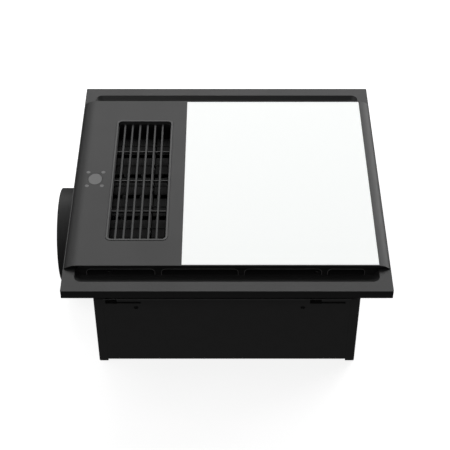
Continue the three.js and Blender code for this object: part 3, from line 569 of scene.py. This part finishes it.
def make_sensor():
    """An almost round frosted window in a fine ring, with four small indicator lenses around it."""
    low, high = box_mm("sensor_lens")
    middle = middle_mm("sensor_lens")

    def disc(grow, z0, z1):
        """A flat oval as large as the sensor, grown by a margin, between two heights."""
        half_x, half_y = SENSOR_HALF
        return prism(ellipse((middle.x, middle.y), half_x + grow, half_y + grow, 96), "z", z0, z1)

    foot_top = low.z + 1.8
    window = joined(disc(-0.5, foot_top, high.z - 0.1), disc(2, low.z, foot_top))
    finish_piece(window, "sensor_window", "sensor_lens", bevel=0.25, segments=3)
    ring = cut(disc(0.3, high.z - 2.2, high.z), disc(-0.4, high.z - 4, high.z + 1))
    finish_piece(ring, "sensor_ring", "sensor_lens", "graphite_plastic", 0.12, 2, stands_for=[])
    for i, spot in enumerate(indicator_spots()):
        dot = rod("z", INDICATOR_RADIUS, high.z - 2, high.z - 0.05, spot, 32)
        finish_piece(dot, f"indicator_{i + 1}", "sensor_lens", "indicator", 0.3, 3, stands_for=[])


# ---- Outlet grille -----------------------------------------------------------------------------
GRILLE_SHIFT = Vector((1.4, 0, 0))  # the grille lies a little nearer the light than its CAD node
GRILLE_RADIUS = 6.2
RIM_WIDTH = 2.2
RIM_FOOT = 0.9  # how much wider the rim is below the bars
BAR_COUNT = 6
BAR_MIDDLE = -113.75
BAR_PITCH = 10.32
BAR_HALF = 1.15
BAR_DROP = 4.1  # how far the bars lie below the rim
RIB_PLACES = (-59, 0, 59)
RIB_HALF = 0.7
RIB_DROP = 6.2


def grille_box():
    low, high = box_mm("outlet_grille")
    return low + GRILLE_SHIFT, high + GRILLE_SHIFT


def make_grille():
    """The grille stands a little proud of the panel, and its bars lie below its rim."""
    low, high = grille_box()
    outer = inset_rect(low, high, 0, GRILLE_RADIUS, 14)
    inner = inset_rect(low, high, RIM_WIDTH, GRILLE_RADIUS - RIM_WIDTH + 1.2, 14)
    rim = cut(prism(outer, "z", low.z, high.z), prism(inner, "z", low.z - 1, high.z + 1))

    foot_inset = RIM_WIDTH + RIM_FOOT
    hole = inset_rect(low, high, foot_inset, GRILLE_RADIUS - foot_inset + 1.5, 14)
    start = RIM_WIDTH - 0.3  # the bars reach this far into the rim
    foot = cut(
        prism(inset_rect(low, high, start, GRILLE_RADIUS, 14), "z", low.z, high.z - BAR_DROP - 0.6),
        prism(hole, "z", low.z - 1, high.z + 1),
    )
    bottom = low.z + 0.3
    bars = []
    for i in range(BAR_COUNT):
        x = BAR_MIDDLE + BAR_PITCH * (i - (BAR_COUNT - 1) / 2)
        ends = (low.y + start, high.y - start)
        bars.append(block(x - BAR_HALF, x + BAR_HALF, *ends, bottom, high.z - BAR_DROP))
    for y in RIB_PLACES:
        ends = (low.x + start, high.x - start)
        bars.append(block(*ends, y - RIB_HALF, y + RIB_HALF, bottom, high.z - RIB_DROP))
    finish_piece(joined(foot, *bars), "outlet_grille_bars", "outlet_grille", bevel=0.4, segments=3)
    # The rim's lighter grey is a painted highlight on its rounded top.
    finish_piece(rim, "outlet_grille_rim", "outlet_grille", "rim_highlight_plastic", 0.85, 4, stands_for=[])


# ---- Warm-air outlet ---------------------------------------------------------------------------
VANE_THICK = 2.4
VANE_END = 2.9  # how much shorter the blade is than its shaft at each end
SHAFT_RADIUS = 2
CRANK_DROP = 9  # from the shaft down to the link's pin
CRANK_HALF = 2.4
LINK_ROOM = 3  # half the width of the blade's split for the link


def make_vane(number, link_x):
    """A louvre vane with an aerofoil section, a split for the link and a crank down to it."""
    low, high = box_mm(f"louvre_vane_{number}")
    y, z = (low.y + high.y) / 2, high.z - SHAFT_RADIUS
    half, steps = (high.y - low.y) / 2, 40
    section = [
        (y + half * math.cos(a), z + 0.5 * VANE_THICK * math.sin(a) * (1 + 0.15 * math.cos(a)))
        for a in (FULL_TURN * k / steps for k in range(steps))
    ]
    blade = cut(
        prism(section, "x", low.x + VANE_END, high.x - VANE_END),
        block(link_x - LINK_ROOM, link_x + LINK_ROOM, y - 20, y + 20, z - 3, z + 3),
    )
    foot = arc((y, z - CRANK_DROP), CRANK_HALF, 2 * QUARTER_TURN, 4 * QUARTER_TURN, 12)
    crank_outline = [(y - CRANK_HALF, z), *foot, (y + CRANK_HALF, z)]
    crank = prism(crank_outline, "x", link_x - LINK_ROOM - 2, link_x - LINK_ROOM)
    shaft = rod("x", SHAFT_RADIUS, low.x, high.x, (y, z), 32)
    pin = rod("x", 1.3, link_x - LINK_ROOM - 1, link_x + 2.8, (y, z - CRANK_DROP), 24)
    vane = joined(blade, shaft, crank, pin)
    finish_piece(vane, f"vane_blade_{number}", f"louvre_vane_{number}", "vane_plastic", 0.2)


def make_vanes():
    link_x = middle_mm("louvre_link").x
    for number in range(1, 6):
        make_vane(number, link_x)


# ---- Heater ------------------------------------------------------------------------------------
SPINE_HALF = (2.6, 7)  # half width and half height
FIN_RUN = (2.7, 11)  # from the spine's middle to each run's inner and outer folds
FIN_HALF_HEIGHT = 6
FIN_HALF_THICK = 0.25
FIN_END = 4
PLEATS = 38


def pleated_run(inner_x, outer_x, y0, y1, z):
    """A strip folded to and fro between two planes, as vertices and faces."""
    pitch = (y1 - y0) / PLEATS
    folds = [(inner_x if k % 2 else outer_x, y0 + pitch * k) for k in range(PLEATS + 1)]
    vertices, faces = [], []
    t = FIN_HALF_THICK
    for (xa, ya), (xb, yb) in zip(folds, folds[1:]):
        n = len(vertices)
        for x, y in ((xa, ya - t), (xa, ya + t), (xb, yb + t), (xb, yb - t)):
            vertices += [(x, y, z - FIN_HALF_HEIGHT), (x, y, z + FIN_HALF_HEIGHT)]
        faces += [(n + i, n + (i + 2) % 8, n + (i + 2) % 8 + 1, n + i + 1) for i in (0, 2, 4, 6)]
        faces += [(n, n + 6, n + 4, n + 2), (n + 1, n + 3, n + 5, n + 7)]
    return vertices, faces


def make_heating_bars():
    """Ceramic heating bars: an insulated spine between two runs of closely pleated fins, all in a dark metal
    that paints the shade deep inside the outlet.
    """
    half_x, half_z = SPINE_HALF
    for number in (1, 2, 3):
        node = f"heating_bar_{number}"
        low, high = box_mm(node)
        x, z = (low.x + high.x) / 2, (low.z + high.z) / 2
        spine = block(x - half_x, x + half_x, low.y, high.y, z - half_z, z + half_z)
        finish_piece(spine, f"heating_spine_{number}", node, "shade_dark_fins", 0.4, 2, stands_for=[])
        vertices, faces = [], []
        for side in (-1, 1):
            inner, outer = (x + side * reach for reach in FIN_RUN)
            more, more_faces = pleated_run(inner, outer, low.y + FIN_END, high.y - FIN_END, z)
            faces += [tuple(len(vertices) + i for i in face) for face in more_faces]
            vertices += more
        finish_piece(solid_from(vertices, faces), f"heating_fins_{number}", node, "shade_dark_fins", 0)


# ---- Duct collar -------------------------------------------------------------------------------
COLLAR_RADIUS = 64.2
COLLAR_WALL = 2.7
COLLAR_LIP = 1.0
COLLAR_PLATE = 2.5
COLLAR_SCREW = (61, 57)  # from the duct's axis to each screw


def duct_axis():
    """The duct's centre line in (y, z)."""
    middle = middle_mm("shutter_pin")
    return middle.y, middle.z


def make_collar():
    """A plain spigot with a rounded mouth, on a square plate with four screws."""
    low, high = box_mm("duct_collar")
    pin_low, pin_high = box_mm("shutter_pin")
    y, z = duct_axis()
    bore, mouth, root = COLLAR_RADIUS - COLLAR_WALL, low.x, high.x
    face = root - COLLAR_PLATE
    lip_centre = (mouth + COLLAR_LIP, COLLAR_RADIUS - COLLAR_LIP)
    lead = arc(lip_centre, COLLAR_LIP, 2 * QUARTER_TURN, QUARTER_TURN, 6)
    line = [(mouth, bore + 0.4), *lead, (root, COLLAR_RADIUS), (root, bore), (mouth + 0.6, bore)]
    spigot = turned([(r, x) for x, r in line], "x", (y, z), 160)
    plate = cut(
        prism(rounded_rect(low.y, high.y, low.z, high.z, 10, 10), "x", face, root),
        rod("x", bore + 1, root - 4, root + 1, (y, z), 160),
    )
    across, up = COLLAR_SCREW
    seats = [(y + a * across, z + b * up) for a in (-1, 1) for b in (-1, 1)]
    pin_hole = rod("z", 1.8, pin_low.z - 5, pin_high.z + 5, ((pin_low.x + pin_high.x) / 2, y), 24)
    holes = [rod("x", 2.2, root - 5, root + 1, seat, 24) for seat in seats]
    collar = cut(joined(spigot, plate), *holes, pin_hole)
    finish_piece(collar, "duct_collar_spigot", "duct_collar", "collar_plastic", bevel=0.25)
    for i, seat in enumerate(seats):
        screw = pan_screw("x", -1, face, seat, 3.6, 1.9)
        finish_piece(screw, f"collar_screw_{i + 1}", "duct_collar", "zinc_steel", 0.1, stands_for=[])


def pan_screw(axis, outward, seat, centre, radius, height):
    """A cross-head pan screw whose head stands out from a face along an axis."""
    steps = 10
    head = [
        (radius * math.cos(a), seat + outward * (0.4 + (height - 0.4) * math.sin(a)))
        for a in (QUARTER_TURN * k / steps for k in range(steps))
    ]
    profile = [(0, seat), (radius, seat), *head, (0, seat + outward * height)]
    u, v = centre
    reach, half = radius * 0.52, radius * 0.11
    slots = [
        rounded_rect(u - reach, u + reach, v - half, v + half, half * 0.9, 3),
        rounded_rect(u - half, u + half, v - reach, v + reach, half * 0.9, 3),
    ]
    ends = sorted((seat + outward * (height - 1), seat + outward * (height + 0.5)))
    return cut(turned(profile, axis, centre, 40), *[prism(slot, axis, *ends) for slot in slots])


# ---- Ceiling frame -----------------------------------------------------------------------------
RECESS = (185.2, 184.3, 9)  # half width, half depth and corner radius of the opening in the flange
RECESS_RUN = (7, 21.3)  # how far its sides slope inwards, along X and along Y
SLOPE_POWER = 1.7
RECESS_STEPS = 14
DECK = (187, 186)  # half width and half depth
DECK_THICK = 2.5
DECK_CUT = (150, 160)  # heights that pass right through the deck
NECK = (164.5, 163.5, 2.5)  # half width, half depth and wall
INTAKE_FACE = 162.5
INTAKE_WALL = 2
INTAKE_ARCH = 5
WINDOWS = ((-171, -88.4), (-79.5, 13.5), (21.9, 115.5), (123.5, 168))
WINDOW_SILL = 0.6  # from the deck up to a window
WINDOW_HEAD = 1.6  # from a window up to its wall's top
TRIM_WIDTH = 0.75
CLAMPS = ((-144.5, -1), (111, -1), (-111, 1), (144.5, 1))  # X, and the wall it stands behind
CLAMP_Y = 155.5
NOTCH_HALF = 7.2
ARM_SLOT = (37, 108.6, 112)  # its length from the screw, its bottom and its top
BLOWER_X = 55
BLOWER_MOUTH = 75
GUARD_RINGS = (20, 38, 57)
GUARD_HALF = 1.6  # half the width of a ring or a spoke


def recess_cavity(rim_z, deck_z):
    """The space inside the flange: its sides curve down and inwards to the deck."""
    half_x, half_y, radius = RECESS
    rings = []
    for i in range(RECESS_STEPS + 1):
        share = i / RECESS_STEPS
        x, y = half_x - RECESS_RUN[0] * (1 - share), half_y - RECESS_RUN[1] * (1 - share)
        height = deck_z + (rim_z - deck_z) * share**SLOPE_POWER
        rings.append((height, rounded_rect(-x, x, -y, y, radius, 8)))
    rings.append((rim_z + 2, rounded_rect(-half_x, half_x, -half_y, half_y, radius, 8)))
    return lofted(rings)


def lofted(rings):
    """A closed solid through outlines of equal length at rising heights."""
    count = len(rings[0][1])
    vertices = [(x, y, z) for z, outline in rings for x, y in outline]
    faces = [tuple(range(count)), tuple(range(len(vertices) - 1, len(vertices) - count - 1, -1))]
    for k in range(len(rings) - 1):
        for i in range(count):
            j = (i + 1) % count
            faces.append((k * count + i, k * count + j, (k + 1) * count + j, (k + 1) * count + i))
    return solid_from(vertices, faces)


def clamp_cut(x, side, along, across, heights):
    """A box between two distances from a clamp's screw, on the side where its arm parks."""
    xs = sorted(x - side * reach for reach in along)
    ys = sorted(side * reach for reach in across)
    return block(*xs, *ys, *heights)


def clamp_cuts(across, notch_top):
    """The notch and the arm's slot of every clamp, through a wall between two distances."""
    length, bottom, top = ARM_SLOT
    cuts = []
    for x, side in CLAMPS:
        cuts.append(clamp_cut(x, side, (-NOTCH_HALF, NOTCH_HALF), across, (108, notch_top)))
        cuts.append(clamp_cut(x, side, (0, length), across, (bottom, top)))
    return cuts


def flange_and_deck(top, deck_under, deck_top):
    low, high = box_mm("ceiling_frame")
    under = box_mm("foam_gasket")[1].z
    flange = prism(rounded_rect(low.x, high.x, low.y, high.y, 1.2, 4), "z", under, top)
    half_x, half_y = DECK
    deck = block(-half_x, half_x, -half_y, half_y, deck_under, deck_top + 2)
    return cut(joined(flange, deck), recess_cavity(top, deck_top))


def neck_and_shelves(bottom, deck_under, deck_top):
    """The square neck under the deck, and the four shelves that carry the clamps' screws."""
    x, y, wall = NECK
    neck = cut(
        prism(rounded_rect(-x, x, -y, y, 4, 5), "z", bottom, deck_top - 0.5),
        prism(rounded_rect(wall - x, x - wall, wall - y, y - wall, 2, 4), "z", bottom - 1, deck_under),
    )
    across, heights = (CLAMP_Y - 6, y - wall + 1), (bottom + 2, bottom + 5.5)
    return [neck, *[clamp_cut(at, side, (-8, 8), across, heights) for at, side in CLAMPS]]


def deck_cuts(deck_under, deck_top):
    """Openings for the outlet, the blower, the louvre motor, a cable, the duct and the clamps."""
    grille_low, grille_high = box_mm("outlet_grille")
    motor_low, motor_high = box_mm("louvre_motor")
    right = grille_high.x + 1.1
    wall_y = NECK[1] - NECK[2]
    cuts = [
        block(grille_low.x - 1.1, right, grille_low.y - 0.7, grille_high.y + 0.7, *DECK_CUT),
        rod("z", BLOWER_MOUTH, deck_under - 1, deck_top + 1, (BLOWER_X, 0), 96),
        block(right - 1, motor_high.x + 1, motor_low.y + 5, motor_high.y - 5, *DECK_CUT),
        rod("z", 5, *DECK_CUT, (0, 130), 24),
        rod("x", COLLAR_RADIUS + 2, -167, -158, duct_axis(), 96),
        *[rod("z", 2.4, 90, 160, (x, side * CLAMP_Y), 24) for x, side in CLAMPS],
        *clamp_cuts((wall_y - 0.5, NECK[1] + 1), deck_under),
    ]
    for i in (1, 2, 3, 4):
        x, y, _ = middle_mm(f"panel_clip_{i}")
        cuts.append(block(x - 7.5, x + 7.5, y - 5, y + 5, *DECK_CUT))
    return cuts


def blower_guard(deck_under, deck_top):
    """Three rings and four crossed spokes over the blower's mouth."""
    centre, half, reach = (BLOWER_X, 0), GUARD_HALF, BLOWER_MOUTH + 1
    rings = [
        cut(
            rod("z", radius + half, deck_under, deck_top, centre, 64),
            rod("z", radius - half, deck_under - 1, deck_top + 1, centre, 64),
        )
        for radius in GUARD_RINGS
    ]
    x0, x1 = BLOWER_X - reach, BLOWER_X + reach
    along = block(x0, x1, -half, half, deck_under, deck_top - 0.02)
    across = block(BLOWER_X - half, BLOWER_X + half, -reach, reach, deck_under, deck_top - 0.02)
    slanted = []
    for angle in (45, 135):
        spoke = block(x0, x1, -half, half, deck_under, deck_top - 0.04)
        slanted.append(turned_about(spoke, "z", math.radians(angle), (BLOWER_X, 0, 0)))
    return [*rings, along, across, *slanted]


def make_ceiling_frame():
    """The flange with its sloped recess, the deck, the neck and the two slotted intake walls."""
    low, high = box_mm("ceiling_frame")
    top = box_mm("face_panel")[0].z - 0.4
    deck_top = box_mm("foam_gasket")[1].z + 1.5
    deck_under = deck_top - DECK_THICK
    shell = flange_and_deck(top, deck_under, deck_top)
    shell = joined(shell, *neck_and_shelves(low.z, deck_under, deck_top))
    shell = cut(shell, *deck_cuts(deck_under, deck_top))
    walls = [intake_wall(side, deck_top, high.z, top) for side in (-1, 1)]
    shell = joined(shell, *blower_guard(deck_under, deck_top), *walls)
    finish_piece(shell, "ceiling_frame_shell", "ceiling_frame", bevel=0.3)
    # The beads round the intake windows are light grey: a painted highlight on their edges.
    for name, side in (("front", -1), ("rear", 1)):
        trim = joined(*[window_trim(x0, x1, side, deck_top, high.z) for x0, x1 in WINDOWS])
        finish_piece(trim, f"intake_highlight_trim_{name}", "ceiling_frame", "painted_edge_highlight", 0.15, stands_for=[])


def intake_wall(side, deck_top, wall_top, flange_top):
    y0, y1 = sorted((side * (INTAKE_FACE - INTAKE_WALL), side * INTAKE_FACE))
    wall = joined(
        block(-181, 181, y0, y1, deck_top - 0.5, wall_top),
        block(-186, 186, y0 + 0.01, y1 - 0.01, deck_top - 0.5, flange_top - 1),
    )
    sill, head = deck_top + WINDOW_SILL, wall_top - WINDOW_HEAD
    windows = [prism(arched(x0, x1, sill, head, INTAKE_ARCH), "y", y0 - 1, y1 + 1) for x0, x1 in WINDOWS]
    return cut(wall, *windows)


def window_trim(x0, x1, side, deck_top, wall_top):
    """A thin raised bead round one intake window, in a light grey that paints the highlight on its edge."""
    y0, y1 = sorted((side * (INTAKE_FACE + 0.03), side * (INTAKE_FACE + 0.42)))
    sill, head, bead = deck_top + WINDOW_SILL, wall_top - WINDOW_HEAD, TRIM_WIDTH
    return cut(
        prism(arched(x0 - bead, x1 + bead, sill, head + bead, INTAKE_ARCH + bead), "y", y0, y1),
        prism(arched(x0, x1, sill - 1, head, INTAKE_ARCH), "y", y0 - 1, y1 + 1),
    )


# ---- Casing ------------------------------------------------------------------------------------
SHEET = 1.5
TRAY_BOTTOM = 2.5
BEND = 2.2  # outside radius of a folded corner
FOLD = 1  # outside radius along the tray's lower edges
HEM_ROUND = 0.7
WRAP = 11.8
SEAM = 0.12  # how far the tray stays from the side plates' wraps
HEM = 2.7
SCREWS = ((-113.5, -1), (95.2, -1), (113.5, 1), (-95.2, 1))  # X, and the wall it stands on
SCREW_Z = 101.3


def folded_tray_outline(half, top):
    """The sheet's outline across the tray, in (y, z): hem, wall, back, wall, hem."""
    fold = half - FOLD
    hem = half - HEM_ROUND
    inner = half - SHEET
    floor, ledge = TRAY_BOTTOM + SHEET, top - SHEET
    return [
        *arc((-fold, TRAY_BOTTOM + FOLD), FOLD, 2 * QUARTER_TURN, 3 * QUARTER_TURN, 6),
        *arc((fold, TRAY_BOTTOM + FOLD), FOLD, 3 * QUARTER_TURN, 4 * QUARTER_TURN, 6),
        *arc((hem, top - HEM_ROUND), HEM_ROUND, 0, QUARTER_TURN, 4),
        *[(half - HEM, top), (half - HEM, ledge), (inner, ledge), (inner, floor)],
        *[(-inner, floor), (-inner, ledge), (HEM - half, ledge), (HEM - half, top)],
        *arc((-hem, top - HEM_ROUND), HEM_ROUND, QUARTER_TURN, 2 * QUARTER_TURN, 4),
    ]


def make_base_tray():
    """One folded sheet: the back with its pressed pad, the front wall and the rear wall, hemmed on top."""
    _, half, top = box_mm("base_tray")[1]
    trayed = half - WRAP - SEAM
    tray = prism(folded_tray_outline(half, top), "x", -trayed, trayed)
    inner = half - SHEET - 0.3
    tabs = block(-inner, inner, -inner, inner, TRAY_BOTTOM + 0.01, TRAY_BOTTOM + SHEET - 0.01)
    pad = turned([(0, 0), (32, 0), (33.4, 0.6), (36.4, 3.2), (38, 4), (0, 4)], "z", (0, 0), 96)
    pressed = [(0, SHEET), (31.4, SHEET), (32.6, 2.1), (35.6, 4.2), (37, 6), (0, 6)]
    grommet = middle_mm("cable_grommet")
    cuts = [
        turned(pressed, "z", (0, 0), 96),
        *clamp_cuts((half - 8, half + 2), top + 2),
        *[rod("y", 2.9, side * half - 3, side * half + 3, (x, SCREW_Z), 32) for x, side in SCREWS],
        rod("y", 7.8, half - 4, half + 2, (grommet.x, grommet.z), 48),
    ]
    finish_piece(cut(joined(tray, tabs, pad), *cuts), "base_tray_sheet", "base_tray", bevel=0.25)
    for i, (x, side) in enumerate(SCREWS):
        screw = pan_screw("y", side, side * (half - 1.6), (x, SCREW_Z), 2.5, 1.2)
        finish_piece(screw, f"casing_screw_{i + 1}", "base_tray", "black_plastic", 0.08, stands_for=[])
    # A thin light grey strip just outside each hem's top: a painted highlight line along a hem that lies in
    # the flange's shade.
    for name, side in (("front", -1), ("rear", 1)):
        across = sorted((side * (half - 0.02), side * (half + 0.12)))
        line = block(-trayed, trayed, *across, top - 1.1, top - 0.2)
        finish_piece(line, f"casing_hem_highlight_{name}", "base_tray", "painted_edge_highlight", 0.04, 2, stands_for=[])


def wrapped_plate_outline(half):
    """A right-hand side plate's outline in plan, wrapped round both corners."""
    edge, centre, inside = half - WRAP, half - BEND, BEND - SHEET
    return [
        (edge, -half),
        *arc((centre, -centre), BEND, 3 * QUARTER_TURN, 4 * QUARTER_TURN, 6),
        *arc((centre, centre), BEND, 0, QUARTER_TURN, 6),
        (edge, half),
        (edge, half - SHEET),
        *arc((centre, centre), inside, QUARTER_TURN, 0, 4),
        *arc((centre, -centre), inside, 4 * QUARTER_TURN, 3 * QUARTER_TURN, 4),
        (edge, SHEET - half),
    ]


def make_side_plates():
    """Each side is a folded sheet that wraps round onto the front and the rear."""
    for name, side in (("left", -1), ("right", 1)):
        _, half, upper_edge = box_mm(f"{name}_side_plate")[1]
        top = box_mm("base_tray")[1].z
        plan = [(side * x, y) for x, y in wrapped_plate_outline(half)]
        upper = half - NECK[2] - 3
        face = sorted((side * half, side * (half - SHEET)))
        foot = sorted((side * (half - 0.7), side * (half - 16)))
        hem = sorted((side * (half - 2), side * (half - WRAP)))
        pieces = [
            block(*face, -upper, upper, top - 1, upper_edge),
            block(*foot, -half + 20, half - 20, 0.8, 2.2),
        ]
        for end in (-1, 1):
            across = sorted((end * (half - HEM_ROUND), end * (half - HEM)))
            pieces.append(block(*hem, *across, top - SHEET, top - 0.01))
        plate = joined(prism(plan, "z", 0, top), *pieces)
        cuts = [rod("z", 3, -1, 4, (side * (half - 9), y), 32) for y in (-120, 0, 120)]
        if side < 0:
            cuts.append(rod("x", COLLAR_RADIUS - 2.5, -half - 2, -half + 4, duct_axis(), 96))
        finish_piece(cut(plate, *cuts), f"{name}_side_sheet", f"{name}_side_plate", bevel=0.25)


# ---- The whole scene ---------------------------------------------------------------------------
CARRIED = [
    "cable_grommet", "foam_gasket",
    "light_guide", "light_strip_left", "light_strip_right", "light_back_plate", "panel_clip_1",
    "panel_clip_2", "panel_clip_3", "panel_clip_4", "outlet_duct", "louvre_link", "louvre_motor",
    "heater_frame", "thermal_cutout", "air_box", "changeover_flap", "changeover_motor", "shutter_pin",
    "shutter_flap_front", "shutter_flap_rear", "blower_scroll", "blower_lid", "impeller", "motor_shaft",
    "fan_motor", "control_box", "control_box_lid", "circuit_board", "light_driver", "terminal_block",
    *[f"clamp_{part}_{i}" for part in ("screw", "nut", "arm") for i in (1, 2, 3, 4)],
]

make_camera()
make_stage()
make_face_panel()
make_diffuser()
make_sensor()
make_grille()
make_vanes()
make_heating_bars()
make_collar()
make_ceiling_frame()
make_base_tray()
make_side_plates()
for node in CARRIED:
    carry(node)
